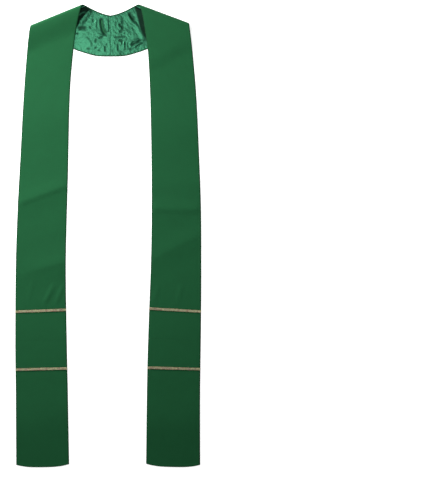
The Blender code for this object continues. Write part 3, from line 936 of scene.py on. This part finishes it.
class Finish:
    """A material with one Principled shader, and one method that adds any other node."""

    def __init__(self, name, **fixed):
        self.material = bpy.data.materials.new(name)
        self.material.use_nodes = True
        self.tree = self.material.node_tree
        self.shader = self.tree.nodes["Principled BSDF"]
        self.use(**fixed)

    def node(self, kind, settings, sockets):
        """Add a node with its settings and its sockets, by name or in order. Gives its outputs by name."""
        made = self.tree.nodes.new(kind)
        for label, value in settings.items():
            setattr(made, label, value)
        named = sockets.items() if isinstance(sockets, dict) else enumerate(sockets)
        for label, value in named:
            self.set(made.inputs[label], value)
        return {output.name: Value(self, output) for output in made.outputs if output.enabled}

    def set(self, socket, value):
        if isinstance(value, Value):
            self.tree.links.new(value.socket, socket)
        else:
            socket.default_value = value

    def use(self, **inputs):
        for label, value in inputs.items():
            self.set(self.shader.inputs[label.replace("_", " ")], value)
        return self.material

    def maths(self, operation, *values):
        return self.node("ShaderNodeMath", {"operation": operation}, values)["Value"]

    def place(self):
        return self.node("ShaderNodeTexCoord", {}, [])["Object"]

    def uv(self, name):
        vector = self.node("ShaderNodeUVMap", {"uv_map": name}, [])["UV"]
        parts = self.node("ShaderNodeSeparateXYZ", {}, [vector])
        return vector, parts["X"], parts["Y"]

    def noise(self, place, scale, detail=2.0, roughness=0.5):
        inputs = {"Vector": place, "Scale": scale, "Detail": detail, "Roughness": roughness}
        return self.node("ShaderNodeTexNoise", {}, inputs)["Fac"]

    def streaks(self, across, along, scales, shift=0.0, detail=2.0, roughness=0.5):
        """Noise with one scale across and another along; shift picks another pattern."""
        stretched = [across * scales[0], along * scales[1], shift]
        place = self.node("ShaderNodeCombineXYZ", {}, stretched)["Vector"]
        return self.noise(place, 1.0, detail, roughness)

    def mix(self, share, first, second):
        colours = [value if isinstance(value, Value) else (*value, 1.0) for value in (first, second)]
        inputs = {0: share, 6: colours[0], 7: colours[1]}
        return self.node("ShaderNodeMix", {"data_type": "RGBA"}, inputs)["Result"]

    def tones(self, share, colour, dark, light):
        return self.mix(share, shade(colour, dark), shade(colour, light))

    def bump(self, height, distance, strength=1.0, below=None):
        """A relief this high in metres, over the relief below it."""
        inputs = {"Height": height, "Distance": distance, "Strength": strength}
        if below:
            inputs["Normal"] = below
        return self.node("ShaderNodeBump", {}, inputs)["Normal"]


def shade(colour, factor):
    return tuple(channel * factor for channel in colour)


def face_cloth_finish(settings):
    """Matte plain-woven cloth: fine threads both ways, uneven yarns, small puckers beside the braid."""
    sheen = {"Sheen_Weight": 0.05, "Sheen_Roughness": 0.5, "Sheen_Tint": (0.55, 0.85, 0.6, 1.0)}
    finish = Finish("green_face_cloth", Specular_IOR_Level=0.12, **sheen)
    vector, across, along = finish.uv("cloth")
    _, to_edge, to_band = finish.uv("edges")
    to_band = abs(to_band)
    warp, weft = (way.wave(2 * settings.weave_pitch) for way in (across, along))
    over = (warp * weft).above(0.0)
    weave = abs(warp) * over + abs(weft) * (1 - over)
    slubs = finish.streaks(across, along, (1600, 40))
    picks = finish.streaks(across, along, (40, 1600), 3.0)
    patches = finish.noise(vector, 38.0, 3.0)
    clouds = finish.noise(vector, 9.0)
    wander = finish.streaks(across, along, (90, 30), 7.0)
    puckers = across.wave(BRAID_PUCKERS, wander * 7.0) * to_band.fade(FACE_PUCKER_REACH).power(1.5)
    tone = slubs * 0.25 + picks * 0.25 + patches * 0.3 + clouds * 0.2
    colour = finish.tones(tone, settings.face_colour, 0.82, 1.18)
    # Painted shade along the cloth's edges, where it rounds over and turns under
    colour = finish.mix(to_edge.fade(PAINTED_EDGE_SHADE) * 0.9, colour, shade(settings.face_colour, 0.4))
    # Painted shadow of the braid on the cloth beside it
    beside = 1 - ((to_band - BRAID_SHADE_START) / BRAID_SHADE_REACH).clamped()
    colour = finish.mix(beside * 0.5, colour, shade(settings.face_colour, 0.6))
    relief = finish.bump(puckers, 0.0004)
    relief = finish.bump(clouds + patches * 0.25, 0.0012, 0.6, relief)
    relief = finish.bump(weave + slubs * 0.3 + picks * 0.3, 0.00006, 0.8, relief)
    return finish.use(Base_Color=colour, Roughness=0.78 + patches * 0.1, Normal=relief)


def satin_finish(settings):
    """Shiny satin: threads along the cloth, fine ripples where it is gathered and broad swells where it lies
    flat, puckers beside seams and braid, and painted shade deep in its folds."""
    finish = Finish("green_satin_lining", Specular_IOR_Level=0.35, Metallic=0.8)
    vector, across, along = finish.uv("cloth")
    _, to_edge, to_band = finish.uv("edges")
    _, fold_painted_shade, gathered = finish.uv("fold")
    threads = finish.streaks(across, along, (5200, 60), 0.0, 1.0)
    floats = finish.streaks(across, along, (900, 900), 2.0, 1.0)
    ripples = finish.streaks(across, along, (55, 75), 5.0, 3.0, 0.55)
    swells = finish.streaks(across, along, (13, 24), 9.0)
    patches = finish.noise(vector, 60.0, 3.0)
    wander = finish.streaks(across, along, (90, 30), 7.0)
    puckers = across.wave(BRAID_PUCKERS, wander * 7.0) * abs(to_band).fade(SATIN_PUCKER_REACH)
    puckers = puckers + along.wave(EDGE_PUCKERS, wander * 8.0) * to_edge.fade(EDGE_PUCKER_REACH)
    tone = threads * 0.3 + patches * 0.4 + floats * 0.3
    colour = finish.tones(tone, settings.lining_colour, 0.84, 1.16)
    # Painted shade deep in the folds: the satin is darkened there and made rougher
    colour = finish.mix(fold_painted_shade * 0.9, colour, shade(settings.lining_colour, 0.08))
    roughness = 0.4 + patches * 0.08 + threads * 0.04 + fold_painted_shade * 0.35
    relief = finish.bump(ripples * (gathered * 0.75 + 0.25) + swells * (1 - gathered) * 1.6, 0.003, 0.8)
    relief = finish.bump(puckers, 0.00025, 1.0, relief)
    relief = finish.bump(threads + floats * 0.5, 0.00003, 0.6, relief)
    return finish.use(Base_Color=colour, Roughness=roughness, Normal=relief)


def braid_finish(settings):
    """Pale metallic yarns, each twisted, that differ a little in tone along the braid."""
    finish = Finish("gold_braid_yarn", Specular_IOR_Level=0.6)
    _, around, along = finish.uv("yarn")
    _, across, _ = finish.uv("braid")
    yarn = around.floor()
    blotches = finish.noise(finish.place(), 150.0, 1.5)
    drift = finish.streaks(yarn, along, (3.7, 330), 2.0, 1.0)
    flecks = finish.streaks(yarn, along, (5.3, 240), 8.0, 0.0)
    twist = along.wave(YARN_TWIST, around * TURN)
    pink = (blotches * 5.0 - 2.2).clamped()
    grey = (drift * 4.0 - 1.9).clamped()
    specks = ((0.47 - flecks) * 5.0).clamped()
    colour = finish.mix(pink, settings.gold_colour, settings.pink_gold_colour)
    colour = finish.mix(grey * 0.8, colour, settings.grey_gold_colour)
    colour = finish.mix(specks * 0.75, colour, shade(settings.olive_colour, 0.8))
    colour = finish.mix((abs(across) - 0.45).clamped() * 1.5, colour, settings.olive_colour)
    # Painted shade in the grooves of each yarn's twist
    colour = finish.mix((0.5 - twist * 0.5) * 0.3, colour, shade(settings.gold_colour, 0.3))
    metallic, roughness = 0.45 + drift * 0.3, 0.36 + blotches * 0.2
    relief = finish.bump(twist, 0.0001)
    return finish.use(Base_Color=colour, Metallic=metallic, Roughness=roughness, Normal=relief)


def thread_finish(settings):
    """Sewing thread to match the cloth."""
    finish = Finish("green_sewing_thread", Specular_IOR_Level=0.4, Sheen_Weight=0.1)
    _, around, along = finish.uv("yarn")
    twist = along.wave(THREAD_TWIST, around * (2 * TURN))
    fuzz = finish.noise(finish.place(), 900.0)
    # Random fuzz, with painted shade in the grooves of the thread's twist and painted highlights on its
    # crests
    colour = finish.tones(fuzz * 0.5 + twist * 0.2 + 0.2, settings.face_colour, 0.75, 1.6)
    relief = finish.bump(twist, 0.00004)
    return finish.use(Base_Color=colour, Roughness=0.5 + fuzz * 0.15, Normal=relief)


def floor_finish(settings):
    """Pale paper that stays near white."""
    glow = {"Emission_Color": (1.0, 1.0, 1.0, 1.0), "Emission_Strength": settings.floor_glow}
    finish = Finish("pale_floor", Specular_IOR_Level=0.1, Roughness=0.95, **glow)
    grain = finish.noise(finish.place(), 14.0, 4.0)
    return finish.use(Base_Color=finish.tones(grain, settings.floor_colour, 0.985, 1.0))


FINISHES = {
    "green_face_cloth": face_cloth_finish,
    "green_satin_lining": satin_finish,
    "gold_braid_yarn": braid_finish,
    "green_sewing_thread": thread_finish,
}


def finish_named(name, settings):
    """The finish of this name, made the first time that it is asked for."""
    return bpy.data.materials.get(name) or FINISHES[name](settings)


def length_input(name, description, default):
    return FloatProperty(name=name, description=description, default=default, unit="LENGTH")


def number_input(name, description, default):
    return FloatProperty(name=name, description=description, default=default)


def count_input(name, description, default):
    return IntProperty(name=name, description=description, default=default)


def colour_input(name, description, default):
    return FloatVectorProperty(name=name, description=description, default=default, subtype="COLOR")


class ClothSettings(PropertyGroup):
    face_thickness: length_input("Face cloth", "Thickness of the green face cloth", 0.00045)
    lining_thickness: length_input("Lining", "Thickness of the satin lining", 0.0003)
    turned_edge: length_input("Turned edge", "Width of face cloth turned over onto the lining side", 0.0024)
    weave_pitch: length_input("Weave", "Distance between two threads of the face cloth", 0.00045)
    face_columns: count_input("Face columns", "Grid columns across the face cloth between its edges", 40)
    lining_columns: count_input("Lining columns", "Grid columns across the lining between its edges", 72)
    fold_height: number_input("Fold height", "What the heights of the satin's folds are multiplied by", 1.35)
    stitch_pitch: length_input("Stitches", "Distance between two hand stitches along an edge", 0.006)
    face_colour: colour_input("Face colour", "Colour of the face cloth", (0.0138, 0.118, 0.041))
    lining_colour: colour_input("Lining colour", "Colour of the satin lining", (0.026, 0.151, 0.079))


class BraidSettings(PropertyGroup):
    braid_width: length_input("Width", "Width of the flat braid", BRAID_WIDE)
    strands: count_input("Strands", "Strands of the plait, an odd number", 5)
    plait_length: length_input("Plait", "Length in which a strand goes across and back", 0.0155)
    plait_relief: length_input("Relief", "How far a strand rises where it passes over another", 0.00034)
    yarn_width: length_input("Yarn width", "Width of one of a strand's two yarns", 0.00095)
    yarn_height: length_input("Yarn height", "Height of one yarn, pressed flat", 0.00062)
    gold_colour: colour_input("Gold", "Main colour of the yarns", (0.86, 0.82, 0.50))
    pink_gold_colour: colour_input("Pink gold", "Warm tone in the yarns", (0.70, 0.46, 0.36))
    olive_colour: colour_input("Olive", "Tone of the yarns at the braid's edges", (0.24, 0.21, 0.05))
    grey_gold_colour: colour_input("Grey gold", "Cool tone in the yarns", (0.46, 0.53, 0.46))


class StageSettings(PropertyGroup):
    camera_height: length_input("Camera height", "Height of the camera over the floor", 5.4225)
    camera_aside: length_input("Camera aside", "How far the camera is to the right of the middle", 0.2921)
    camera_along: length_input("Camera along", "How far the camera is towards the neck", -0.0139)
    lens: number_input("Lens", "Focal length in millimetres", 150.0)
    main_power: number_input("Main light", "Power of the softbox overhead in watts", 12.4)
    left_power: number_input("Left light", "Power of the left softbox in watts", 48.0)
    right_power: number_input("Right light", "Power of the right softbox in watts", 1.0)
    room_light: number_input("Room light", "Strength of the even light", 0.03)
    floor_glow: number_input("Floor glow", "Light that the floor gives of itself", 0.85)
    floor_colour: colour_input("Floor colour", "Colour of the floor", (0.9, 0.9, 0.9))


def neck_rise(sheet):
    """How far the satin on the yoke rises where the cloth climbs into the fold beside the neck, and how much
    painted shade it gets deep in the fold, 0 to 1."""
    half, out, drop = sheet.half, sheet.out, sheet.drop
    line = NECK_RISE[half.name]
    start = on_curve(line, np.clip(drop, 0, line[-1][0]))
    edge = on_curve(half.inner, drop)
    past = (out - start) / np.maximum(edge - start, LEAST_CLIMB)
    room = front_height(half, out, drop) - yoke_height(half, out, drop) - 2 * LINING_DEPTH - ROOM_KEPT
    room = np.maximum(room, 0)
    joined = ease(past_roll(half, out, drop) / CLIMB_FROM_ROLL)
    climb = np.clip(past, 0, CLIMB_END) / CLIMB_END
    hidden = 1 - ease((out - edge - COVERED) / COVERED_FADE)
    rise = NECK_RISE_SHARE * room * climb * joined * hidden * (past > 0)
    # Share of painted shade where the satin lies deep in the fold under a front
    depth = ease(past / SHADE_WAY) * np.clip(room / SHADE_ROOM, 0, 1) * np.clip(SHADE_AT_ROLL + joined, 0, 1)
    return rise, depth


def face_lift(sheet):
    """Height of the face cloth's outside over the seam surface, turned under at the edges and the hem."""
    rows, low = sheet.rows, -LINING_DEPTH + TURN_RISE
    column = np.where(np.isnan(sheet.lifts), FACE_WALL, sheet.lifts)[None, :]
    row = rows.lift[:, None]
    lift = np.minimum(column, row) + np.zeros(sheet.out.shape)
    edge_under, hem_under = column <= low, row <= low
    # The last two rows before the hem's round are tucked up too
    rounded = (rows.part == FRONT) & (rows.lift < FACE_WALL - SAME_HEIGHT)
    at_hem = (np.arange(len(rounded)) >= np.argmax(rounded) - 2)[:, None]
    lift = lift + edge_under * (CORNER_LIFT * hem_under + TUCK_LIFT * (at_hem & ~hem_under))
    plain = (lift >= FACE_WALL - SAME_HEIGHT) & (rows.part == FRONT)[:, None]
    lift = lift + plain * crease_height(FACE_CREASES[sheet.half.name], sheet.out, sheet.drop)
    return lift - np.where((rows.part == YOKE)[:, None], seam_sink(sheet.out), 0)


def front_hollows(sheet):
    """How far the satin of a front stands out of its plain surface, below zero: in seam puckers, under the
    stitch lines of the braid and in its creases."""
    half, out, drop = sheet.half, sheet.out, sheet.drop
    inner, outer = front_ends(half, drop)
    to_edge = np.maximum(np.minimum(out - inner, outer - out), 0)
    drift = PUCKER_SWAY * np.sin(TURN * drop / PUCKER_DRIFT)
    puckers = 0.5 + 0.5 * np.sin(TURN * drop / PUCKER_PITCH + drift + half.sign)
    hollows = -PUCKER_DEPTH * puckers**2 * np.exp(-((to_edge / PUCKER_REACH) ** 2))
    line = np.abs(band_distance(half, out, drop))
    hollows = hollows - STITCH_LINE_DEPTH * np.clip(1 - line / STITCH_LINE_REACH, 0, 1) ** 2
    creases = []
    for crease in FRONT_CREASES[half.name]:
        creases.append(crease._replace(path=[(share * HOLLOWS_WIDTH, drop) for share, drop in crease.path]))
    hollows = hollows + crease_height(creases, (out - inner) / (outer - inner) * HOLLOWS_WIDTH, drop)
    return np.maximum(hollows, -DEEPEST) * ease((drop - HOLLOWS_START) / HOLLOWS_FADE)


def lining_lift(sheet, gain):
    """Height of the lining's outside over the seam surface, below zero and more so where a fold stands out,
    and how much painted shade it gets deep in a fold or hollow of the yoke."""
    rows = sheet.rows
    column = np.where(np.isnan(sheet.lifts), -LINING_DEPTH, sheet.lifts)[None, :]
    row = np.where(rows.lift >= FACE_WALL, -LINING_DEPTH, rows.lift)[:, None]
    edge = np.maximum(column, row) + np.zeros(sheet.out.shape)
    yoke, front = ((rows.part == part)[:, None] for part in (YOKE, FRONT))
    folds = crease_height(YOKE_CREASES[sheet.half.name], sheet.out, sheet.drop) * gain
    rise, depth = neck_rise(sheet)
    lit = np.clip(1 - folds * CREST_LIGHT, 0, 1)
    # Painted shade: crests take some away, hollows of the yoke add some
    depth = np.maximum(depth * lit, np.clip(-folds / HOLLOW_SHADE, 0, DARKEST_HOLLOW))
    folds = np.where(yoke, folds + rise, 0) + np.where(front, front_hollows(sheet), 0)
    inside = edge <= -LINING_DEPTH + SAME_HEIGHT
    lift = edge - folds * inside + np.where(yoke, seam_sink(sheet.out), 0)
    return lift, np.where(yoke, depth, 0)


class STOLE_OT_face_cloth(Operator):
    """Lay the green face cloth of both halves, turned under at the edges and hems"""

    bl_idname = "stole.face_cloth"
    bl_label = "Face Cloth"

    def execute(self, context):
        settings = context.scene.stole_cloth
        finish = finish_named("green_face_cloth", settings)
        profile = edge_profile(settings.turned_edge / MM)
        for half in HALVES:
            sheet = lay_strip(half, profile, settings.face_columns)
            name, wall = f"face_cloth_{half.name}", settings.face_thickness
            piece = add_sheet(name, sheet, face_lift(sheet), 1, wall, cloth_maps(sheet), finish)
            settle(piece, f"face_{half.name}")
        return {"FINISHED"}


class STOLE_OT_lining(Operator):
    """Lay the satin lining of both halves, with its folds on the yoke and its hollows under the fronts"""

    bl_idname = "stole.lining"
    bl_label = "Satin Lining"

    def execute(self, context):
        settings = context.scene.stole_cloth
        finish = finish_named("green_satin_lining", settings)
        profile = lining_profile(settings.turned_edge / MM)
        for half in HALVES:
            sheet = lay_strip(half, profile, settings.lining_columns)
            lift, depth = lining_lift(sheet, settings.fold_height)
            gathered = (sheet.rows.part != FRONT)[:, None] + np.zeros(depth.shape)
            # The fold map holds the painted shade of the folds and whether the satin is gathered
            maps = {**cloth_maps(sheet), "fold": np.stack([depth, gathered], axis=-1)}
            name, wall = f"satin_lining_{half.name}", settings.lining_thickness
            piece = add_sheet(name, sheet, lift, -1, wall, maps, finish)
            settle(piece, f"lining_{half.name}")
        return {"FINISHED"}


def front_line(band, aside, lift, step):
    """A line across a front beside a braid's middle, over the cloth and down its edges, with its normals."""
    half = band.half
    inner = by_drop(half.inner)(np.array([band.inner_drop + aside]))[0]
    outer = by_drop(half.outer)(np.array([band.outer_drop + aside]))[0]
    wide = np.linalg.norm(outer - inner)
    ways = np.append(np.arange(EDGE_ROUND, wide - EDGE_ROUND, STITCH_STEP), wide - EDGE_ROUND)
    out, drop = (inner + (outer - inner) * (ways / wide)[:, None]).T
    seam = in_frame(half, out, drop, front_height(half, out, drop))
    normals = surface_normal(half, front_height, out, drop)
    outward = unit(np.array([half.sign * (outer - inner)[0], -(outer - inner)[1], 0.0]))
    bends = []
    for end, sign in ((0, -1), (-1, 1)):
        centre = seam[end] + normals[end] * (FACE_WALL - EDGE_ROUND)
        angles = np.linspace(0, BRAID_BEND, BEND_POINTS)[1:, None]
        ups = sign * outward * np.sin(angles) + normals[end] * np.cos(angles)
        bends.append((centre + ups * (EDGE_ROUND + lift), ups))
    first, last = bends
    path = np.vstack([first[0][::-1], seam + normals * (FACE_WALL + lift), last[0]])
    return evenly(path, np.vstack([first[1][::-1], normals, last[1]]), step)


def yoke_line(bar, aside, lift, step):
    """A line beside the middle of a bar under the yoke, facing down. The bar is two points as (x from the
    seam, drop)."""
    start, end = np.array(bar, float)
    along = unit(end - start)
    count = int(np.linalg.norm(end - start) / step) + 1
    plan = start + aside * along[::-1] + (end - start) * np.linspace(0, 1, count)[:, None]
    path = np.stack([CENTRE_SEAM_X + plan[:, 0], NECK_POINT_Y - plan[:, 1], np.full(count, lift)], axis=-1)
    return path, np.tile([0.0, 0.0, -1.0], (count, 1))


def add_braid(scene, name, node, line, place, stitch_lift, clear):
    """A plait along a line at its place and stitches along both sides, this many points clear of its ends."""
    finish = finish_named("gold_braid_yarn", scene.stole_braid)
    thread = finish_named("green_sewing_thread", scene.stole_cloth)
    tubes = plait(*line(place, 0.0, BRAID_LIFT, BRAID_STEP), scene.stole_braid)
    add_tubes(name, tubes, finish, node)
    stitches = []
    for side in (-1, 1):
        path, ups = line(place, side * STITCH_ASIDE, stitch_lift, STITCH_STEP)
        inside = slice(clear, len(path) - clear)
        stitches += stitch_tubes(path[inside], ups[inside], BRAID_STITCH_PITCH, BRAID_STITCH)
    add_tubes(name + "_stitches", stitches, thread)


class STOLE_OT_front_braids(Operator):
    """Plait the four gold braids across the fronts and sew them down along both sides"""

    bl_idname = "stole.front_braids"
    bl_label = "Front Braids"

    def execute(self, context):
        sewing = FRONT_STITCH_LIFT, STITCHES_CLEAR
        for band in BANDS:
            add_braid(context.scene, band.name, band.node, front_line, band, *sewing)
        return {"FINISHED"}


class STOLE_OT_cross(Operator):
    """Plait the gold cross on the outside of the yoke and sew it down"""

    bl_idname = "stole.cross"
    bl_label = "Braid Cross"

    def execute(self, context):
        beside = context.scene.stole_braid.braid_width / MM / 2 + SEAM_GAP
        bars = {
            "cross_upright": ((0.0, CROSS_TOP_DROP), (0.0, CROSS_FOOT_DROP)),
            "cross_arm_left": ((-CROSS_ARM_REACH, CROSS_ARM_DROP), (-beside, CROSS_ARM_DROP)),
            "cross_arm_right": ((beside, CROSS_ARM_DROP), (CROSS_ARM_REACH, CROSS_ARM_DROP)),
        }
        for node, bar in bars.items():
            add_braid(context.scene, "braid_" + node, node, yoke_line, bar, CROSS_STITCH_LIFT, 0)
        return {"FINISHED"}


class STOLE_OT_edge_stitches(Operator):
    """Sew the lining to the turned edge of the face cloth with small hand stitches"""

    bl_idname = "stole.edge_stitches"
    bl_label = "Edge Stitches"

    def execute(self, context):
        settings = context.scene.stole_cloth
        thread = finish_named("green_sewing_thread", settings)
        profile = [(settings.turned_edge / MM + EDGE_STITCH_ASIDE, -LINING_DEPTH)]
        first = len(SEAM_TURNS) - 1
        for half in HALVES:
            sheet = lay_strip(half, profile, 1)
            below = sheet.places - sheet.normals * EDGE_STITCH_DEPTH
            tubes = []
            for column in (0, -1):
                line = evenly(below[first:, column], -sheet.normals[first:, column], EDGE_STITCH_STEP)
                tubes += stitch_tubes(*line, settings.stitch_pitch / MM, EDGE_STITCH)
            add_tubes(f"edge_stitches_{half.name}", tubes, thread)
        return {"FINISHED"}


class STOLE_OT_declare_sheets(Operator):
    """A step that does nothing; no cloth's cut size is stated"""

    bl_idname = "stole.declare_sheets"
    bl_label = "Cut Sizes"

    def execute(self, context):
        return {"FINISHED"}


def add_softbox(softbox, power):
    """An area light that shines from its place to its aim and isn't seen itself."""
    lamp = bpy.data.lights.new(softbox.name, "AREA")
    lamp.shape = "RECTANGLE"
    lamp.size, lamp.size_y = softbox.size
    lamp.energy = power
    made = bpy.data.objects.new(softbox.name, lamp)
    made.location = softbox.place
    x, y, z = np.array(softbox.place) - np.array(softbox.aim)
    made.rotation_euler = (math.atan2(math.hypot(x, y), z), 0.0, math.atan2(x, -y))
    made.visible_camera = False
    bpy.context.scene.collection.objects.link(made)


class STOLE_OT_stage(Operator):
    """Set the pale floor, the studio lights and the camera that looks straight down"""

    bl_idname = "stole.stage"
    bl_label = "Stage"

    def execute(self, context):
        scene = context.scene
        settings = scene.stole_stage
        scene.view_settings.view_transform = "Standard"
        corners = np.array([(x, y, FLOOR_DROP) for x, y in ((-1, -1), (1, -1), (1, 1), (-1, 1))], float)
        corners[:, :2] *= FLOOR_REACH
        floor = add_object("floor", corners, np.array([[0, 1, 2, 3]]), {}, floor_finish(settings))
        scene.world = bpy.data.worlds.new("studio")
        scene.world.use_nodes = True
        background = scene.world.node_tree.nodes["Background"]
        background.inputs["Color"].default_value = (1.0, 1.0, 1.0, 1.0)
        background.inputs["Strength"].default_value = settings.room_light
        for softbox in SOFTBOXES:
            add_softbox(softbox, getattr(settings, softbox.power))
        lens = bpy.data.cameras.new("camera")
        lens.lens = settings.lens
        scene.camera = bpy.data.objects.new("camera", lens)
        scene.camera.location = (settings.camera_aside, settings.camera_along, settings.camera_height)
        scene.collection.objects.link(scene.camera)
        return {"FINISHED"}


class STOLE_PT_panel(Panel):
    """Sizes, colours and steps of the stole"""

    bl_idname = "STOLE_PT_panel"
    bl_label = "Stole"
    bl_space_type = "VIEW_3D"
    bl_region_type = "UI"
    bl_category = "Stole"

    def draw(self, context):
        for name in GROUPS:
            group = getattr(context.scene, name)
            box = self.layout.box()
            for label in group.__annotations__:
                box.prop(group, label)
        for operator in OPERATORS:
            self.layout.operator(operator.bl_idname)


OPERATORS = (
    STOLE_OT_face_cloth,
    STOLE_OT_lining,
    STOLE_OT_front_braids,
    STOLE_OT_cross,
    STOLE_OT_edge_stitches,
    STOLE_OT_declare_sheets,
    STOLE_OT_stage,
)
GROUPS = {"stole_cloth": ClothSettings, "stole_braid": BraidSettings, "stole_stage": StageSettings}
CLASSES = (*GROUPS.values(), *OPERATORS, STOLE_PT_panel)


def register():
    for each in CLASSES:
        bpy.utils.register_class(each)
    for name, group in GROUPS.items():
        setattr(bpy.types.Scene, name, PointerProperty(type=group))


def unregister():
    for name in GROUPS:
        delattr(bpy.types.Scene, name)
    for each in reversed(CLASSES):
        bpy.utils.unregister_class(each)


def main():
    register()
    bpy.ops.stole.face_cloth()
    bpy.ops.stole.lining()
    bpy.ops.stole.front_braids()
    bpy.ops.stole.cross()
    bpy.ops.stole.edge_stitches()
    bpy.ops.stole.declare_sheets()
    bpy.ops.stole.stage()


if __name__ == "__main__":
    main()
